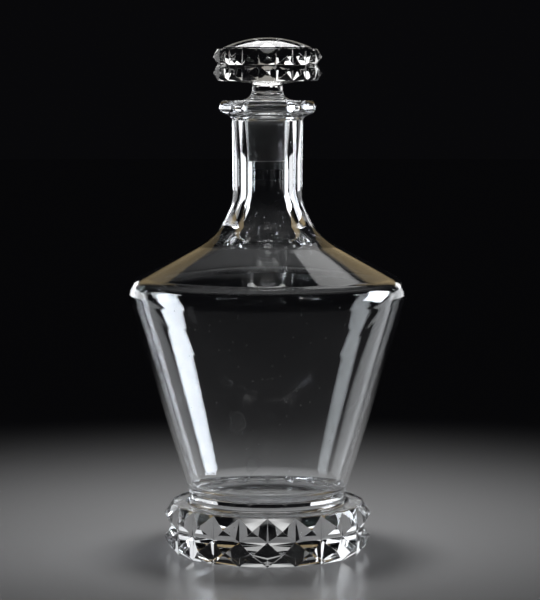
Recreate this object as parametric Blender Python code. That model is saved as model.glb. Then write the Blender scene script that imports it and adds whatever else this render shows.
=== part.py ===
"""Cut crystal decanter with a ground-in stopper.

The frame's origin is the centre of the face that the foot stands on, with +Z up the axis and
the front at -Y, where one upright groove of the foot faces. All sizes are in metres. The blown
bowl, the solid cut foot and the lip ring are fused on the real object; here a thin gap stands
for each fused joint. The stopper lifts out of the neck along +Z.
"""

import math

import bmesh
import bpy
from mathutils import Matrix, Vector

MM = 0.001
ROUND_STEPS = 40
GAP = 0.3 * MM

# Foot: a solid disc whose rim is cut into two rows of four-sided pyramids.
FOOT_CUTS = 22
FOOT_ROW_HEIGHT = 12.6 * MM
FOOT_HEIGHT = 2 * FOOT_ROW_HEIGHT
FOOT_GROOVE_RADIUS = 50.2 * MM
FOOT_TABLE_RADIUS = 49.4 * MM
FOOT_PYRAMID = 4.4 * MM
FOOT_LAND_RADIUS = 36.0 * MM
FOOT_DISH_DEPTH = 1.5 * MM

# Bowl and neck: the corners of the outer outline as (radius, height) and the curves at them.
BASE_CORNER = (39.7 * MM, FOOT_HEIGHT + GAP)
SHOULDER_CORNER = (74.45 * MM, 139.2 * MM)
SHOULDER_CURVE = 11.0 * MM
NECK_CORNER = (17.75 * MM, 168.4 * MM)
NECK_CURVE = 33.0 * MM
NECK_TOP_RADIUS = 18.3 * MM
MOUTH_HEIGHT = 234.1 * MM
WALL = 2.6 * MM
FLOOR_HEIGHT = 30.5 * MM
FLOOR_CURVE = 9.0 * MM
BORE_CURVE = 30.0 * MM

# Lip: a ring of glass wound round the top of the neck, with a sloping underside.
LIP_RADIUS = 24.9 * MM
LIP_CURVE = 3.1 * MM
LIP_SKIRT_HEIGHT = 227.9 * MM
LIP_FOOT_HEIGHT = 225.0 * MM

# Stopper: a cut head on a narrow waist above a tapered plug ground to fit the bore.
PLUG_TOP = (12.0 * MM, 233.8 * MM)
PLUG_TIP = (9.97 * MM, 202.8 * MM)
PLUG_EDGE = 0.6 * MM
PLUG_SHOULDER_RADIUS = 12.5 * MM
PLUG_SHOULDER_HEIGHT = 234.6 * MM
WAIST_RADIUS = 8.0 * MM
WAIST_LOWER_CURVE = 4.4 * MM
WAIST_UPPER_CURVE = 1.8 * MM
WAIST_TOP = 242.7 * MM
HEAD_BOTTOM = 243.9 * MM
HEAD_CUTS = 18
HEAD_ROW_HEIGHT = 8.2 * MM
HEAD_GROOVE_RADIUS = 25.7 * MM
HEAD_PYRAMID = 3.1 * MM
DOME_RIM_RADIUS = 22.5 * MM
DOME_RIM_HEIGHT = 261.1 * MM
DOME_TOP = 266.1 * MM
HEAD_LEDGE = 4.0 * MM
OVERLAP = 2.0 * MM

UPRIGHT_SLOPE = 0.3
SHARP_ANGLE = math.radians(20.0)


def clear_scene():
    for item in list(bpy.data.objects):
        bpy.data.objects.remove(item, do_unlink=True)


def glass(name, colour, roughness):
    material = bpy.data.materials.new(name)
    material.use_nodes = True
    shader = material.node_tree.nodes["Principled BSDF"]
    shader.inputs["Base Color"].default_value = (*colour, 1.0)
    shader.inputs["Roughness"].default_value = roughness
    shader.inputs["Metallic"].default_value = 0.0
    shader.inputs["Transmission Weight"].default_value = 1.0
    shader.inputs["IOR"].default_value = 1.55
    return material


def crossing(line_a, line_b):
    """The point where two lines meet, each given as two (radius, height) points."""
    (ax, ay), (bx, by) = line_a
    (cx, cy), (dx, dy) = line_b
    across = (bx - ax) * (dy - cy) - (by - ay) * (dx - cx)
    along = ((cx - ax) * (dy - cy) - (cy - ay) * (dx - cx)) / across
    return (ax + along * (bx - ax), ay + along * (by - ay))


def moved_in(start, end, distance):
    """The line from start up to end, moved towards the inside of the vessel."""
    direction = (Vector(end) - Vector(start)).normalized()
    inward = Vector((-direction.y, direction.x)) * distance
    return (tuple(Vector(start) + inward), tuple(Vector(end) + inward))


def rounded(corners, steps=6):
    """An outline through (radius, height, curve) corners, with an arc at each curved corner."""
    outline = []
    for index, (radius, height, curve) in enumerate(corners):
        corner = Vector((radius, height))
        if curve == 0.0:
            outline.append(corner)
            continue
        before = (Vector(corners[index - 1][:2]) - corner).normalized()
        after = (Vector(corners[index + 1][:2]) - corner).normalized()
        half_angle = before.angle(after) / 2.0
        centre = corner + (before + after).normalized() * (curve / math.sin(half_angle))
        start = corner + before * (curve / math.tan(half_angle)) - centre
        end = corner + after * (curve / math.tan(half_angle)) - centre
        sweep = start.angle_signed(end)
        for step in range(steps + 1):
            turned = Matrix.Rotation(-sweep * step / steps, 2) @ start
            outline.append(centre + turned)
    return outline


def arc_rise(radius, rim_height, top_height, steps):
    """A shallow arc from the rim (radius, rim_height) to the axis at top_height."""
    rise = top_height - rim_height
    curve = (radius ** 2 + rise ** 2) / (2.0 * rise)
    points = []
    for step in range(1, steps + 1):
        place = radius * (1.0 - step / steps)
        lift = math.copysign(math.sqrt(curve ** 2 - place ** 2), curve)
        points.append(Vector((place, top_height - curve + lift)))
    return points


def turned_mesh(outline, steps, closed=False, half_step=False):
    """Spin an outline about Z, starting at the front or half a step past it."""
    start = -math.pi / 2.0
    if half_step:
        start += math.pi / steps
    shape = bmesh.new()
    for point in outline:
        place = (point.x * math.cos(start), point.x * math.sin(start), point.y)
        shape.verts.new(place)
    shape.verts.ensure_lookup_table()
    count = len(outline)
    for index in range(count if closed else count - 1):
        shape.edges.new((shape.verts[index], shape.verts[(index + 1) % count]))
    profile = list(shape.verts) + list(shape.edges)
    bmesh.ops.spin(shape, geom=profile, axis=(0, 0, 1), cent=(0, 0, 0), steps=steps,
                   angle=2.0 * math.pi, use_merge=True)
    bmesh.ops.remove_doubles(shape, verts=shape.verts, dist=0.001 * MM)
    bmesh.ops.recalc_face_normals(shape, faces=shape.faces)
    return shape


def cut_pyramids(shape, low, high, height):
    """Raise a four-sided pyramid on every upright face of the rim between two heights."""
    rim = []
    for face in shape.faces:
        middle = face.calc_center_median()
        upright = abs(face.normal.z) < UPRIGHT_SLOPE
        if upright and low < middle.z < high:
            rim.append(face)
    bmesh.ops.poke(shape, faces=rim, offset=height, center_mode="MEAN")


def make_object(name, shape, material):
    mesh = bpy.data.meshes.new(name)
    shape.to_mesh(mesh)
    shape.free()
    item = bpy.data.objects.new(name, mesh)
    item.data.materials.append(material)
    bpy.context.collection.objects.link(item)
    mesh.shade_smooth()
    mesh.set_sharp_from_angle(angle=SHARP_ANGLE)
    return item


def diamond_foot(material):
    rim = [
        Vector((FOOT_GROOVE_RADIUS, 0.0)),
        Vector((FOOT_GROOVE_RADIUS, FOOT_ROW_HEIGHT)),
        Vector((FOOT_GROOVE_RADIUS, FOOT_HEIGHT - GAP)),
        Vector((FOOT_TABLE_RADIUS, FOOT_HEIGHT)),
        Vector((0.0, FOOT_HEIGHT)),
    ]
    dish = arc_rise(FOOT_LAND_RADIUS, 0.0, FOOT_DISH_DEPTH, steps=3)
    outline = list(reversed(rim)) + [Vector((FOOT_LAND_RADIUS, 0.0))] + dish
    shape = turned_mesh(outline, FOOT_CUTS)
    cut_pyramids(shape, 0.0, FOOT_HEIGHT - GAP, FOOT_PYRAMID)
    return make_object("diamond_foot", shape, material)


def bowl_and_neck(material):
    neck_top = (NECK_TOP_RADIUS, MOUTH_HEIGHT)
    outer = rounded([
        (*neck_top, 0.0),
        (*NECK_CORNER, NECK_CURVE),
        (*SHOULDER_CORNER, SHOULDER_CURVE),
        (*BASE_CORNER, 0.0),
    ])
    side = moved_in(BASE_CORNER, SHOULDER_CORNER, WALL)
    shoulder = moved_in(SHOULDER_CORNER, NECK_CORNER, WALL)
    throat = PLUG_TIP[0] + GAP
    mouth = PLUG_TOP[0] + GAP
    floor_line = ((0.0, FLOOR_HEIGHT), (1.0, FLOOR_HEIGHT))
    throat_line = ((throat, 0.0), (throat, 1.0))
    inner = rounded([
        (0.0, FLOOR_HEIGHT, 0.0),
        (*crossing(floor_line, side), FLOOR_CURVE),
        (*crossing(side, shoulder), SHOULDER_CURVE - WALL),
        (*crossing(throat_line, shoulder), BORE_CURVE),
        (throat, PLUG_TIP[1], 0.0),
        (mouth, PLUG_TOP[1], 0.0),
        (mouth + GAP, MOUTH_HEIGHT, 0.0),
    ])
    outline = outer + [Vector((0.0, BASE_CORNER[1]))]
    shape = turned_mesh(list(reversed(outline)) + list(reversed(inner)), ROUND_STEPS)
    return make_object("bowl_and_neck", shape, material)


def lip_ring(material):
    inside = NECK_TOP_RADIUS + GAP
    outline = rounded([
        (inside, MOUTH_HEIGHT, 0.0),
        (LIP_RADIUS, MOUTH_HEIGHT, LIP_CURVE),
        (LIP_RADIUS, LIP_SKIRT_HEIGHT, LIP_CURVE),
        (inside + GAP, LIP_FOOT_HEIGHT, 0.0),
        (inside, LIP_FOOT_HEIGHT - GAP, 0.0),
    ], steps=4)
    shape = turned_mesh(outline, ROUND_STEPS, closed=True)
    return make_object("lip_ring", shape, material)


def join_to(item, other):
    """Keep other as a hidden guide and join its shape to item."""
    other.hide_render = True
    other.display_type = "WIRE"
    union = item.modifiers.new("join_" + other.name, "BOOLEAN")
    union.operation = "UNION"
    union.solver = "EXACT"
    union.object = other


def stopper(material):
    head_middle = HEAD_BOTTOM + HEAD_ROW_HEIGHT
    head_top = head_middle + HEAD_ROW_HEIGHT
    head_outline = [
        Vector((0.0, head_top)),
        Vector((HEAD_GROOVE_RADIUS, head_top)),
        Vector((HEAD_GROOVE_RADIUS, head_middle)),
        Vector((HEAD_GROOVE_RADIUS, HEAD_BOTTOM)),
        Vector((0.0, HEAD_BOTTOM)),
    ]
    head = turned_mesh(head_outline, HEAD_CUTS, half_step=True)
    cut_pyramids(head, HEAD_BOTTOM, head_top, HEAD_PYRAMID)
    item = make_object("stopper", head, material)

    dome = [
        Vector((0.0, head_top - OVERLAP)),
        Vector((DOME_RIM_RADIUS, head_top - OVERLAP)),
        Vector((DOME_RIM_RADIUS, DOME_RIM_HEIGHT)),
    ]
    dome += arc_rise(DOME_RIM_RADIUS, DOME_RIM_HEIGHT, DOME_TOP, steps=5)
    dome_shape = turned_mesh(dome, ROUND_STEPS)
    join_to(item, make_object("dome_guide", dome_shape, material))

    shank = rounded([
        (0.0, HEAD_BOTTOM + OVERLAP, 0.0),
        (HEAD_GROOVE_RADIUS - HEAD_LEDGE, HEAD_BOTTOM + OVERLAP, 0.0),
        (HEAD_GROOVE_RADIUS - HEAD_LEDGE, HEAD_BOTTOM, 0.0),
        (WAIST_RADIUS, WAIST_TOP, WAIST_UPPER_CURVE),
        (WAIST_RADIUS, PLUG_SHOULDER_HEIGHT, WAIST_LOWER_CURVE),
        (PLUG_SHOULDER_RADIUS, PLUG_SHOULDER_HEIGHT, 0.0),
        (*PLUG_TOP, 0.0),
        (PLUG_TIP[0], PLUG_TIP[1] + PLUG_EDGE, 0.0),
        (PLUG_TIP[0] - PLUG_EDGE, PLUG_TIP[1], 0.0),
        (0.0, PLUG_TIP[1], 0.0),
    ], steps=4)
    shank_shape = turned_mesh(shank, ROUND_STEPS)
    join_to(item, make_object("shank_guide", shank_shape, material))
    return item


def build():
    clear_scene()
    blown = glass("blown_crystal", (0.93, 0.95, 0.96), 0.03)
    cut = glass("cut_crystal", (0.93, 0.94, 0.94), 0.01)
    bowl_and_neck(blown)
    diamond_foot(cut)
    lip_ring(blown)
    stopper(cut)


build()
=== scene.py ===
"""Looks of a cut crystal decanter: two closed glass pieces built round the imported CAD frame."""

import math

import bmesh
import bpy
from mathutils import Matrix, Quaternion, Vector


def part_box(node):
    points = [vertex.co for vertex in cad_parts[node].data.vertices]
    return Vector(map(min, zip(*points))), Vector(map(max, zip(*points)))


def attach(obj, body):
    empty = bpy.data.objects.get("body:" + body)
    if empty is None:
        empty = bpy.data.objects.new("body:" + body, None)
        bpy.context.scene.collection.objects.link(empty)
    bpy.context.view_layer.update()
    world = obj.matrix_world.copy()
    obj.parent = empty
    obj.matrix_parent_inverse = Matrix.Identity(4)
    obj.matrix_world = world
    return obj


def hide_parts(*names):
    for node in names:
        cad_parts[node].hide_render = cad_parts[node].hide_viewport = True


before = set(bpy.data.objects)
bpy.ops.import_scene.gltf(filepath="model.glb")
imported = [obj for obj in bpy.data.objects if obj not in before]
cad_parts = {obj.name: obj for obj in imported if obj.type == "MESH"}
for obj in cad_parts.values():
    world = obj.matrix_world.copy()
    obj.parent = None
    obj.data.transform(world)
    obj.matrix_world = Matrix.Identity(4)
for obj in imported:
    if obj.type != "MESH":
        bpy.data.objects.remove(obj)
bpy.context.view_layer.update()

MM = 0.001

# The heights and widths that the frame gives.
foot_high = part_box("diamond_foot")[1]
lip_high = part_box("lip_ring")[1]
stopper_low, stopper_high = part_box("stopper")

# Foot.
FOOT_CUTS = 22
FOOT_HEIGHT = foot_high.z
FOOT_ROW_HEIGHT = FOOT_HEIGHT / 2.0
FOOT_GROOVE_RADIUS = 50.2 * MM
FOOT_TABLE_RADIUS = 49.4 * MM
FOOT_TABLE_DROP = 0.3 * MM
FOOT_PYRAMID = 4.4 * MM
FOOT_LAND_RADIUS = 36.0 * MM
FOOT_DISH_DEPTH = 1.5 * MM
FOOT_RING_RADIUS = 46.0 * MM
DISH_STEPS = 12

# Bowl, neck and lip: corners of the outline as (radius, height).
BASE_CORNER = (39.6 * MM, FOOT_HEIGHT)
BASE_FILLET = 2.6 * MM
SHOULDER_CORNER = (74.42 * MM, 139.2 * MM)
SHOULDER_CURVE = 11.0 * MM
NECK_CORNER = (17.75 * MM, 168.4 * MM)
NECK_CURVE = 33.0 * MM
NECK_TOP = (18.3 * MM, 225.1 * MM)
NECK_COVE = 2.5 * MM
LIP_RADIUS = lip_high.x
LIP_SKIRT_HEIGHT = 227.9 * MM
LIP_CURVE = 3.1 * MM
MOUTH_HEIGHT = lip_high.z
MOUTH_CURVE = 1.0 * MM
GAP = 0.3 * MM
WALL = 2.6 * MM
INNER_FLOOR_HEIGHT = 30.5 * MM
INNER_FLOOR_CURVE = 9.0 * MM
BORE_CURVE = 30.0 * MM
BORE_TOP_DROP = 2.0 * MM

# Stopper.
PLUG_TOP = (12.0 * MM, 233.8 * MM)
PLUG_TIP = (9.97 * MM, stopper_low.z)
PLUG_EDGE = 0.5 * MM
PLUG_SHOULDER = (12.5 * MM, 234.6 * MM)
WAIST_RADIUS = 8.0 * MM
WAIST_TOP = 242.7 * MM
WAIST_LOWER_CURVE = 4.4 * MM
WAIST_UPPER_CURVE = 1.8 * MM
SHANK_ARC_STEP = 8.0
HEAD_CUTS = 18
HEAD_BOTTOM = 243.9 * MM
HEAD_ROW_HEIGHT = 8.2 * MM
HEAD_GROOVE_RADIUS = 25.7 * MM
HEAD_PYRAMID = 3.1 * MM
HEAD_RING_RADIUS = 23.6 * MM
HEAD_RING_WIDTH = 1.5 * MM
DOME_RIM = (22.5 * MM, 261.1 * MM)
DOME_RIM_FLARE = 0.3 * MM
DOME_TOP = stopper_high.z
DOME_STEPS = 18

# Meshes.
ROUND_STEPS = 176
ARC_STEP = 3.0
STRAIGHT_STEP = 5.0 * MM
CHAMFER = 0.11 * MM
GUARD = 0.5 * MM
SHARP_ANGLE = 28.0
HAIR = 0.001 * MM
UPRIGHT = 0.01
LEVEL = 0.99
BLOWN, CUT, GROUND, GROUND_EDGE = range(4)

# Glass surface. The scales are counts per metre; a film is the share of light it scatters. Four
# numbers are a range: what it runs from and to, and what those become.
GLASS_IOR = 1.55
WAVE_SCALE = 26.0
SMEAR_SCALE = 34.0
SMEAR_RANGE = (0.46, 0.74, 0.0, 1.0)
SMEAR_FILM = 0.006
SMEAR_ROUGHNESS = 0.03
MARK_SCALE = 34.0
MARK_WANDER_SCALE = 90.0
MARK_WANDER = 12.0 * MM
MARK_RADIUS = 0.16
MARK_LINE = (0.0, 0.045, 0.17, 0.0)
MARK_CHOICE = (0.66, 0.70, 0.0, 1.0)
SPECK_SCALE = 420.0
SPECK_DOT = (0.05, 0.18, 0.9, 0.0)
SPECK_CHOICE = (0.95, 0.96, 0.0, 1.0)
CLEAR_TINT = (0.985, 0.99, 0.992, 1.0)
DEEP_TINT = (0.965, 0.973, 0.975, 1.0)
TINT_RANGE = (0.3, 0.7, 0.0, 1.0)

# Floor, lights and camera.
FLOOR_RADIUS = 6.0
FLOOR_SIDES = 64
FLOOR_DROP = 0.4 * MM
FLOOR_COLOUR = (0.62, 0.62, 0.63, 1.0)
FLOOR_ROUGHNESS = 0.24
OBJECT_MIDDLE = (0.0, 0.0, 0.15)
FOOT_MIDDLE = (0.0, 0.0, 0.010)
POOL_MIDDLE = (0.0, 0.06, 0.0)
DAYLIGHT = (0.87, 0.92, 1.0)
PALE_DAYLIGHT = (0.90, 0.95, 1.0)
COOL_WHITE = (0.95, 0.97, 1.0)
WARM_WHITE = (1.0, 0.95, 0.86)
AMBER = (1.0, 0.77, 0.43)
ROOM_COLOUR = (0.0025, 0.0025, 0.003, 1.0)
CAMERA_PLACE = (0.0013, -1.19, 0.2444)
CAMERA_DIP = 5.464
CAMERA_LENS = 138.0


# ---- outlines --------------------------------------------------------------------------------

def crossing(line_a, line_b):
    """The point where two lines meet, each given as two (radius, height) points."""
    (ax, ay), (bx, by) = line_a
    (cx, cy), (dx, dy) = line_b
    across = (bx - ax) * (dy - cy) - (by - ay) * (dx - cx)
    along = ((cx - ax) * (dy - cy) - (cy - ay) * (dx - cx)) / across
    return (ax + along * (bx - ax), ay + along * (by - ay))


def moved_in(start, end, distance):
    """The line from start up to end, moved towards the inside of the vessel."""
    direction = (Vector(end) - Vector(start)).normalized()
    inward = Vector((-direction.y, direction.x)) * distance
    return (tuple(Vector(start) + inward), tuple(Vector(end) + inward))


def rounded(corners, arc_step=ARC_STEP):
    """An outline through (radius, height, curve) corners, arcs at the curved ones.

    Arcs turn arc_step degrees at a time and straight runs are split every STRAIGHT_STEP. A
    guard point on each side of an arc keeps its shading off the straight.
    """
    points = []
    for index, (radius, height, curve) in enumerate(corners):
        corner = Vector((radius, height))
        if curve == 0.0:
            points.append(corner)
            continue
        before = (Vector(corners[index - 1][:2]) - corner).normalized()
        after = (Vector(corners[index + 1][:2]) - corner).normalized()
        half_angle = before.angle(after) / 2.0
        centre = corner + (before + after).normalized() * (curve / math.sin(half_angle))
        start = corner + before * (curve / math.tan(half_angle)) - centre
        end = corner + after * (curve / math.tan(half_angle)) - centre
        sweep = start.angle_signed(end)
        steps = max(2, math.ceil(abs(math.degrees(sweep)) / arc_step))
        guard = min(GUARD, curve / 4.0)
        points.append(centre + start + before * guard)
        for step in range(steps + 1):
            points.append(centre + Matrix.Rotation(-sweep * step / steps, 2) @ start)
        points.append(centre + end + after * guard)
    outline = [points[0]]
    for point in points[1:]:
        gap = point - outline[-1]
        pieces = max(1, math.ceil(gap.length / STRAIGHT_STEP))
        start = outline[-1]
        for piece in range(1, pieces + 1):
            outline.append(start + gap * piece / pieces)
    return outline


def arc_rise(radius, rim_height, top_height, steps):
    """A shallow arc from the rim (radius, rim_height) to the axis at top_height."""
    rise = top_height - rim_height
    curve = (radius ** 2 + rise ** 2) / (2.0 * rise)
    points = []
    for step in range(1, steps + 1):
        place = radius * (1.0 - step / steps)
        lift = math.copysign(math.sqrt(curve ** 2 - place ** 2), curve)
        points.append(Vector((place, top_height - curve + lift)))
    return points


# ---- meshes ----------------------------------------------------------------------------------

def add_turned(shape, outline, material_index=BLOWN):
    """Turn an outline about Z inside shape. Returns the rim edges at the outline's first point."""
    rings = []
    for point in outline:
        if point.x < HAIR:
            rings.append([shape.verts.new((0.0, 0.0, point.y))])
            continue
        ring = []
        for step in range(ROUND_STEPS):
            angle = 2.0 * math.pi * step / ROUND_STEPS - math.pi / 2.0
            ring.append(shape.verts.new((point.x * math.cos(angle), point.x * math.sin(angle),
                                         point.y)))
        rings.append(ring)
    for upper, lower in zip(rings, rings[1:]):
        for step in range(ROUND_STEPS):
            after = (step + 1) % ROUND_STEPS
            if len(lower) == 1:
                corners = (upper[step], upper[after], lower[0])
            else:
                corners = (upper[step], upper[after], lower[after], lower[step])
            face = shape.faces.new(corners)
            face.smooth = True
            face.material_index = material_index
    first = rings[0]
    return [shape.edges.get((first[step - 1], first[step])) for step in range(ROUND_STEPS)]


def cut_drum(cuts, levels, pyramid, half_step):
    """A closed drum whose upright faces carry four-sided pyramids.

    levels are (radius, height) rings from the bottom up; upright strips get the pyramids.
    """
    drum = bmesh.new()
    turn = -math.pi / 2.0 + (math.pi / cuts if half_step else 0.0)
    rings = []
    for radius, height in levels:
        ring = []
        for cut in range(cuts):
            angle = turn + 2.0 * math.pi * cut / cuts
            ring.append(drum.verts.new((radius * math.cos(angle), radius * math.sin(angle),
                                        height)))
        rings.append(ring)
    drum.faces.new(list(reversed(rings[0])))
    drum.faces.new(rings[-1])
    for lower, upper in zip(rings, rings[1:]):
        for cut in range(cuts):
            after = (cut + 1) % cuts
            drum.faces.new((lower[cut], lower[after], upper[after], upper[cut]))
    drum.normal_update()
    upright = [face for face in drum.faces if abs(face.normal.z) < UPRIGHT]
    bmesh.ops.poke(drum, faces=upright, offset=pyramid, center_mode="MEAN")
    drum.normal_update()
    return drum


def add_chamfered(shape, source, width):
    """Add source to shape with every edge and corner cut back to a narrow flat."""
    source.verts.index_update()
    source.faces.index_update()
    inner = {}
    for face in source.faces:
        for loop in face.loops:
            here = loop.vert.co
            ahead = (loop.link_loop_next.vert.co - here).normalized()
            behind = (loop.link_loop_prev.vert.co - here).normalized()
            offset = (ahead + behind) * (width / math.sin(ahead.angle(behind)))
            inner[(face.index, loop.vert.index)] = shape.verts.new(here + offset)
    made = {}
    for face in source.faces:
        ring = [inner[(face.index, vert.index)] for vert in face.verts]
        made[face.index] = shape.faces.new(ring)
    for edge in source.edges:
        loop = edge.link_loops[0]
        other = loop.link_loop_radial_next
        one, two = loop.vert.index, loop.link_loop_next.vert.index
        shape.faces.new((inner[(loop.face.index, two)], inner[(loop.face.index, one)],
                         inner[(other.face.index, one)], inner[(other.face.index, two)]))
    for vert in source.verts:
        loop = vert.link_loops[0]
        ring = []
        for _ in vert.link_loops:
            ring.append(inner[(loop.face.index, vert.index)])
            loop = loop.link_loop_prev.link_loop_radial_next
        fan_corner(shape, ring)
    return made


def fan_corner(shape, ring):
    """Close a corner's ring of points with triangles round its middle."""
    middle = shape.verts.new(sum((point.co for point in ring), Vector()) / len(ring))
    for here, after in zip(ring, ring[1:] + ring[:1]):
        shape.faces.new((here, after, middle))


def open_end(shape, made, source, up):
    """Remove the drum's flat end and return the edges round the opening."""
    for face in source.faces:
        if face.normal.z * up > LEVEL and len(face.verts) > 4:
            flat = made[face.index]
            edges = list(flat.edges)
            shape.faces.remove(flat)
            return edges
    raise ValueError("the drum has no flat end")


def fill_ring(shape, edges, up):
    """Close the flat ring between two loops of edges, facing up (1) or down (-1)."""
    bmesh.ops.triangle_fill(shape, edges=edges, use_beauty=True, normal=(0.0, 0.0, up))


def grind(shape, radius, low, high, material_index=GROUND):
    """Give a ground material to the round faces within radius of the axis, low to high."""
    for face in shape.faces:
        middle = face.calc_center_median()
        if middle.xy.length < radius and low < middle.z < high:
            face.material_index = material_index


def finish_piece(name, shape, materials):
    """Turn a closed shape into a named object. An open edge stops the script."""
    bmesh.ops.recalc_face_normals(shape, faces=shape.faces)
    open_edges = [edge for edge in shape.edges if len(edge.link_faces) != 2]
    if open_edges:
        raise ValueError(f"{name} has {len(open_edges)} open edges")
    mesh = bpy.data.meshes.new(name)
    shape.to_mesh(mesh)
    shape.free()
    for material in materials:
        mesh.materials.append(material)
    mesh.set_sharp_from_angle(angle=math.radians(SHARP_ANGLE))
    piece = bpy.data.objects.new(name, mesh)
    bpy.context.scene.collection.objects.link(piece)
    return piece


def decanter_outline():
    """From the foot's top ring up the outside, over the lip and down the inside to the floor."""
    side = moved_in(BASE_CORNER, SHOULDER_CORNER, WALL)
    shoulder = moved_in(SHOULDER_CORNER, NECK_CORNER, WALL)
    throat = PLUG_TIP[0] + GAP
    mouth = PLUG_TOP[0] + GAP
    floor_line = ((0.0, INNER_FLOOR_HEIGHT), (1.0, INNER_FLOOR_HEIGHT))
    throat_line = ((throat, 0.0), (throat, 1.0))
    return rounded([
        (FOOT_RING_RADIUS, FOOT_HEIGHT, 0.0),
        (*BASE_CORNER, BASE_FILLET),
        (*SHOULDER_CORNER, SHOULDER_CURVE),
        (*NECK_CORNER, NECK_CURVE),
        (*NECK_TOP, NECK_COVE),
        (LIP_RADIUS, LIP_SKIRT_HEIGHT, LIP_CURVE),
        (LIP_RADIUS, MOUTH_HEIGHT, LIP_CURVE),
        (mouth + GAP, MOUTH_HEIGHT, MOUTH_CURVE),
        (mouth, PLUG_TOP[1] - BORE_TOP_DROP, 0.0),
        (throat, PLUG_TIP[1], 0.0),
        (*crossing(throat_line, shoulder), BORE_CURVE),
        (*crossing(side, shoulder), SHOULDER_CURVE - WALL),
        (*crossing(floor_line, side), INNER_FLOOR_CURVE),
        (0.0, INNER_FLOOR_HEIGHT, 0.0),
    ])


def decanter(materials):
    """Bowl, neck, lip and cut foot as one closed glass, as they are fused in the real thing."""
    shape = bmesh.new()
    drum = cut_drum(FOOT_CUTS, [
        (FOOT_GROOVE_RADIUS, 0.0),
        (FOOT_GROOVE_RADIUS, FOOT_ROW_HEIGHT),
        (FOOT_GROOVE_RADIUS, FOOT_HEIGHT - FOOT_TABLE_DROP),
        (FOOT_TABLE_RADIUS, FOOT_HEIGHT),
    ], FOOT_PYRAMID, half_step=False)
    made = add_chamfered(shape, drum, CHAMFER)
    top_edges = open_end(shape, made, drum, 1.0)
    bottom_edges = open_end(shape, made, drum, -1.0)
    drum.free()
    for face in shape.faces:
        face.material_index = CUT
    vessel_edges = add_turned(shape, decanter_outline())
    dish = [Vector((FOOT_RING_RADIUS, 0.0)), Vector((FOOT_LAND_RADIUS, 0.0))]
    dish += arc_rise(FOOT_LAND_RADIUS, 0.0, FOOT_DISH_DEPTH, DISH_STEPS)
    dish_edges = add_turned(shape, dish, material_index=CUT)
    fill_ring(shape, top_edges + vessel_edges, 1.0)
    fill_ring(shape, bottom_edges + dish_edges, -1.0)
    grind(shape, PLUG_TOP[0] + 2.0 * GAP, PLUG_TIP[1], PLUG_TOP[1] - MM)
    piece = finish_piece("crystal_decanter", shape, materials)
    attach(piece, "decanter")
    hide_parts("bowl_and_neck", "diamond_foot", "lip_ring")
    return piece


def stopper(materials):
    """Dome, cut head, waist and ground plug as one closed glass."""
    shape = bmesh.new()
    head_top = HEAD_BOTTOM + 2.0 * HEAD_ROW_HEIGHT
    drum = cut_drum(HEAD_CUTS, [
        (HEAD_GROOVE_RADIUS, HEAD_BOTTOM),
        (HEAD_GROOVE_RADIUS, HEAD_BOTTOM + HEAD_ROW_HEIGHT),
        (HEAD_GROOVE_RADIUS, head_top),
    ], HEAD_PYRAMID, half_step=True)
    made = add_chamfered(shape, drum, CHAMFER)
    top_edges = open_end(shape, made, drum, 1.0)
    bottom_edges = open_end(shape, made, drum, -1.0)
    drum.free()
    for face in shape.faces:
        face.material_index = CUT
    dome = rounded([
        (HEAD_RING_RADIUS, head_top, 0.0),
        (DOME_RIM[0] + DOME_RIM_FLARE, head_top, 0.0),
        (*DOME_RIM, 0.0),
    ])
    dome += arc_rise(*DOME_RIM, DOME_TOP, DOME_STEPS)
    shank = rounded([
        (HEAD_RING_RADIUS, HEAD_BOTTOM, 0.0),
        (HEAD_RING_RADIUS - HEAD_RING_WIDTH, HEAD_BOTTOM, 0.0),
        (WAIST_RADIUS, WAIST_TOP, WAIST_UPPER_CURVE),
        (WAIST_RADIUS, PLUG_SHOULDER[1], WAIST_LOWER_CURVE),
        (*PLUG_SHOULDER, 0.0),
        (*PLUG_TOP, 0.0),
        (*PLUG_TIP, PLUG_EDGE),
        (0.0, PLUG_TIP[1], 0.0),
    ], arc_step=SHANK_ARC_STEP)
    dome_edges = add_turned(shape, dome)
    shank_edges = add_turned(shape, shank)
    fill_ring(shape, top_edges + dome_edges, 1.0)
    fill_ring(shape, bottom_edges + shank_edges, -1.0)
    grind(shape, PLUG_TOP[0] + GAP, PLUG_TIP[1] + PLUG_EDGE, PLUG_TOP[1])
    grind(shape, PLUG_TIP[0], PLUG_TIP[1] + HAIR, PLUG_TIP[1] + PLUG_EDGE,
          material_index=GROUND_EDGE)
    piece = finish_piece("crystal_stopper", shape, materials)
    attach(piece, "stopper")
    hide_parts("stopper")
    return piece


# ---- materials -------------------------------------------------------------------------------

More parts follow.
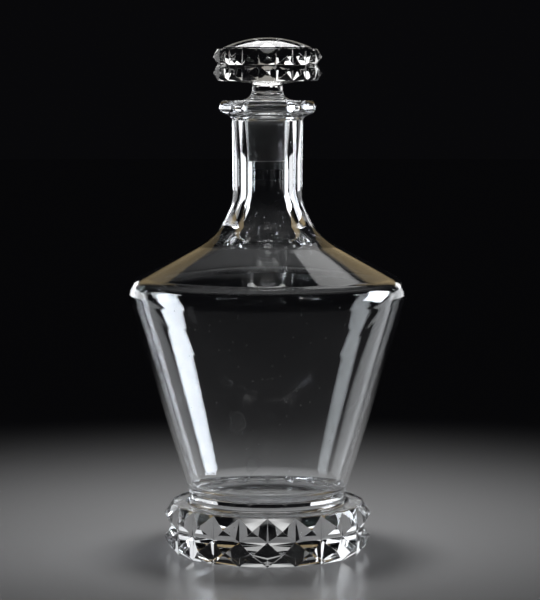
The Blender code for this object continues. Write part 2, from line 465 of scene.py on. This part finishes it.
class Nodes:
    """Small helper that adds and links shader nodes."""

    def __init__(self, tree):
        self.tree = tree

    def add(self, kind, **values):
        """A new node with these settings."""
        node = self.tree.nodes.new(kind)
        for key, value in values.items():
            setattr(node, key, value)
        return node

    def link(self, source, target):
        self.tree.links.new(source, target)

    def noise(self, place, scale, detail, roughness=0.5):
        """Noise from 0 to 1 at scale features a metre."""
        node = self.add("ShaderNodeTexNoise")
        node.inputs["Scale"].default_value = scale
        node.inputs["Detail"].default_value = detail
        node.inputs["Roughness"].default_value = roughness
        self.link(place, node.inputs["Vector"])
        return node.outputs["Fac"]

    def ramp(self, value, stops):
        """Ease value from the first two stops, its own range, to the last two."""
        node = self.add("ShaderNodeMapRange", interpolation_type="SMOOTHSTEP")
        low, high, out_low, out_high = stops
        node.inputs["From Min"].default_value = low
        node.inputs["From Max"].default_value = high
        node.inputs["To Min"].default_value = out_low
        node.inputs["To Max"].default_value = out_high
        self.link(value, node.inputs["Value"])
        return node.outputs["Result"]

    def maths(self, operation, one, two):
        """A Math node on two values, each a number or a socket."""
        node = self.add("ShaderNodeMath", operation=operation)
        for socket, value in zip(node.inputs, (one, two)):
            if isinstance(value, (int, float)):
                socket.default_value = value
            else:
                self.link(value, socket)
        return node.outputs["Value"]


def crystal(name, ripple, film, roughness):
    """Clear lead crystal: faint surface waves and a thin film of handling and dried water.

    ripple is the height of the waves in metres, film how much of the light the clean surface
    scatters, and roughness that of the surface under it.
    """
    material = bpy.data.materials.new(name)
    material.use_nodes = True
    nodes = Nodes(material.node_tree)
    shader = material.node_tree.nodes["Principled BSDF"]
    shader.inputs["IOR"].default_value = GLASS_IOR
    place = nodes.add("ShaderNodeTexCoord").outputs["Object"]
    waves = nodes.noise(place, WAVE_SCALE, 1.0)
    bump = nodes.add("ShaderNodeBump")
    bump.inputs["Strength"].default_value = 1.0
    bump.inputs["Distance"].default_value = ripple
    nodes.link(waves, bump.inputs["Height"])
    nodes.link(bump.outputs["Normal"], shader.inputs["Normal"])

    smears = nodes.ramp(nodes.noise(place, SMEAR_SCALE, 6.0, 0.65), SMEAR_RANGE)
    marks = nodes.maths("ADD", water_marks(nodes, place), specks(nodes, place))
    dirt = nodes.maths("ADD", nodes.maths("MULTIPLY", smears, SMEAR_FILM), marks)
    nodes.link(nodes.maths("SUBTRACT", 1.0 - film, dirt), shader.inputs["Transmission Weight"])
    dulled = nodes.maths("MULTIPLY", smears, SMEAR_ROUGHNESS)
    nodes.link(nodes.maths("ADD", dulled, roughness), shader.inputs["Roughness"])
    # Of a colour Mix node's sockets, 0 is the factor, 6 and 7 the colours, and 2 the result.
    tint = nodes.add("ShaderNodeMix", data_type="RGBA")
    tint.inputs[6].default_value = CLEAR_TINT
    tint.inputs[7].default_value = DEEP_TINT
    nodes.link(nodes.ramp(waves, TINT_RANGE), tint.inputs[0])
    nodes.link(tint.outputs[2], shader.inputs["Base Color"])
    return material


def water_marks(nodes, place):
    """Uneven outlines left where a few drops dried."""
    wander = nodes.add("ShaderNodeTexNoise")
    wander.inputs["Scale"].default_value = MARK_WANDER_SCALE
    nodes.link(place, wander.inputs["Vector"])
    bent = nodes.add("ShaderNodeVectorMath", operation="MULTIPLY_ADD")
    nodes.link(wander.outputs["Color"], bent.inputs[0])
    bent.inputs[1].default_value = (MARK_WANDER, MARK_WANDER, MARK_WANDER)
    nodes.link(place, bent.inputs[2])
    drops = nodes.add("ShaderNodeTexVoronoi")
    drops.inputs["Scale"].default_value = MARK_SCALE
    nodes.link(bent.outputs["Vector"], drops.inputs["Vector"])
    past_edge = nodes.maths("SUBTRACT", drops.outputs["Distance"], MARK_RADIUS)
    outline = nodes.ramp(nodes.maths("ABSOLUTE", past_edge, 0.0), MARK_LINE)
    chosen = nodes.add("ShaderNodeSeparateColor")
    nodes.link(drops.outputs["Color"], chosen.inputs["Color"])
    return nodes.maths("MULTIPLY", outline, nodes.ramp(chosen.outputs["Red"], MARK_CHOICE))


def specks(nodes, place):
    """Pinpoint dust."""
    dust = nodes.add("ShaderNodeTexVoronoi")
    dust.inputs["Scale"].default_value = SPECK_SCALE
    nodes.link(place, dust.inputs["Vector"])
    chosen = nodes.add("ShaderNodeSeparateColor")
    nodes.link(dust.outputs["Color"], chosen.inputs["Color"])
    dot = nodes.ramp(dust.outputs["Distance"], SPECK_DOT)
    return nodes.maths("MULTIPLY", dot, nodes.ramp(chosen.outputs["Red"], SPECK_CHOICE))


def floor_material():
    """Plain light grey with a soft sheen."""
    material = bpy.data.materials.new("pale_floor")
    material.use_nodes = True
    shader = material.node_tree.nodes["Principled BSDF"]
    shader.inputs["Base Color"].default_value = FLOOR_COLOUR
    shader.inputs["Roughness"].default_value = FLOOR_ROUGHNESS
    return material


# ---- stage -----------------------------------------------------------------------------------

def floor():
    """A plain floor just under the foot."""
    mesh = bpy.data.meshes.new("floor")
    shape = bmesh.new()
    bmesh.ops.create_circle(shape, cap_ends=True, radius=FLOOR_RADIUS,
                            segments=FLOOR_SIDES)
    shape.to_mesh(mesh)
    shape.free()
    mesh.materials.append(floor_material())
    plane = bpy.data.objects.new("floor", mesh)
    plane.location.z = -FLOOR_DROP
    bpy.context.scene.collection.objects.link(plane)
    return plane


def softbox(name, azimuth, elevation, distance, width, height, radiance, only, spread=120.0,
            colour=(1.0, 1.0, 1.0), aim=OBJECT_MIDDLE, roll=0.0, blockers=None):
    """A rectangular light aimed at the object; azimuth 0 is the camera's side, 90 is +X.

    radiance is what a point straight in front sees, only is the collection that it lights, roll
    turns the light about its own middle, and blockers is the collection that casts its shadows.
    """
    data = bpy.data.lights.new(name, "AREA")
    data.shape = "RECTANGLE"
    data.size = width
    data.size_y = height
    data.color = colour
    data.spread = math.radians(spread)
    edge = (math.pi - data.spread) / 2.0
    share = 1.0 + (edge - math.pi / 2.0) * math.tan(edge)
    data.energy = math.pi * width * height * radiance * share
    turn = math.radians(azimuth)
    tilt = math.radians(elevation)
    away = Vector((math.sin(turn) * math.cos(tilt), -math.cos(turn) * math.cos(tilt),
                   math.sin(tilt)))
    light = bpy.data.objects.new(name, data)
    light.location = Vector(aim) + away * distance
    light.rotation_mode = "QUATERNION"
    turned = Quaternion((0.0, 0.0, 1.0), math.radians(roll))
    light.rotation_quaternion = (-away).to_track_quat("-Z", "Y") @ turned
    light.visible_camera = False
    light.light_linking.receiver_collection = only
    light.light_linking.blocker_collection = blockers
    bpy.context.scene.collection.objects.link(light)


def light_group(name, *members):
    """A collection for light linking."""
    group = bpy.data.collections.new(name)
    for member in members:
        group.objects.link(member)
    return group


def stage(pieces):
    """Floor, lights and dark room. The floor's second light passes through the glass."""
    ground = light_group("ground", floor())
    vessel = light_group("vessel", pieces[0])
    head = light_group("head", pieces[1])
    glass = light_group("glass", *pieces)
    softbox("right_strip", 104.0, 13.5, 1.05, 0.44, 0.64, 12.5, vessel, spread=150.0,
            colour=DAYLIGHT, roll=-42.0)
    softbox("left_strip", -99.0, 13.5, 1.05, 0.32, 0.60, 3.0, vessel, spread=150.0,
            colour=PALE_DAYLIGHT, roll=42.0)
    softbox("right_rim", 134.0, 2.0, 1.1, 0.66, 0.28, 1.1, vessel, colour=COOL_WHITE)
    softbox("left_rim", -136.0, 2.0, 1.1, 0.80, 0.28, 1.6, vessel, colour=COOL_WHITE)
    softbox("right_low", 150.0, 11.0, 1.0, 0.16, 0.14, 1.8, glass)
    softbox("left_low", -154.0, 9.0, 1.0, 0.16, 0.12, 1.8, glass)
    softbox("back_box", 157.0, 46.0, 1.0, 0.28, 0.30, 0.9, vessel)
    softbox("right_warm", 157.0, 24.0, 1.0, 0.34, 0.34, 0.34, vessel, colour=AMBER)
    softbox("left_warm", -157.0, 24.0, 1.0, 0.34, 0.34, 0.26, vessel, colour=AMBER)
    softbox("head_right", 106.0, 8.0, 1.0, 0.50, 0.30, 1.3, head)
    softbox("head_left", -118.0, 8.0, 1.0, 0.50, 0.30, 1.2, head)
    softbox("head_back", 180.0, 18.0, 1.0, 0.50, 0.26, 0.35, head, colour=WARM_WHITE)
    softbox("head_spark", -170.0, 10.0, 1.0, 0.12, 0.16, 1.4, head)
    softbox("head_front", 24.0, 14.0, 1.1, 0.30, 0.20, 4.0, head)
    softbox("head_top", 0.0, 72.0, 1.0, 0.50, 0.40, 2.4, head)
    softbox("foot_back", 180.0, 17.0, 0.45, 0.28, 0.09, 0.8, vessel, spread=25.0,
            aim=FOOT_MIDDLE)
    softbox("dome_light", 178.0, 46.0, 1.0, 0.60, 0.36, 4.4, head)
    for name, radiance, blockers in (("overhead", 30.0, None), ("overhead_through", 14.0, ground)):
        softbox(name, 180.0, 86.0, 1.0, 0.22, 0.22, radiance, ground, spread=36.0,
                aim=POOL_MIDDLE, blockers=blockers)
    world = bpy.data.worlds.new("studio")
    world.use_nodes = True
    world.node_tree.nodes["Background"].inputs["Color"].default_value = ROOM_COLOUR
    bpy.context.scene.world = world


def camera():
    """A long lens in front of the object, dipped a little."""
    data = bpy.data.cameras.new("camera")
    data.lens = CAMERA_LENS
    eye = bpy.data.objects.new("camera", data)
    eye.location = CAMERA_PLACE
    eye.rotation_euler = (math.radians(90.0 - CAMERA_DIP), 0.0, 0.0)
    bpy.context.scene.collection.objects.link(eye)
    bpy.context.scene.camera = eye


def light_paths():
    """Enough bounces for light to cross every wall of the glass."""
    bpy.context.scene.view_settings.view_transform = "Standard"
    cycles = bpy.context.scene.cycles
    cycles.max_bounces = 24
    cycles.transmission_bounces = 24
    cycles.glossy_bounces = 12
    cycles.diffuse_bounces = 2
    cycles.sample_clamp_indirect = 20.0


blown_glass = crystal("blown_crystal", ripple=0.10 * MM, film=0.0005, roughness=0.0)
cut_glass = crystal("cut_crystal", ripple=0.01 * MM, film=0.001, roughness=0.0)
ground_glass = crystal("ground_crystal", ripple=0.06 * MM, film=0.02, roughness=0.04)
ground_edge = crystal("ground_edge", ripple=0.06 * MM, film=0.5, roughness=0.3)
finishes = [blown_glass, cut_glass, ground_glass, ground_edge]
stage([decanter(finishes[:GROUND_EDGE]), stopper(finishes)])
camera()
light_paths()
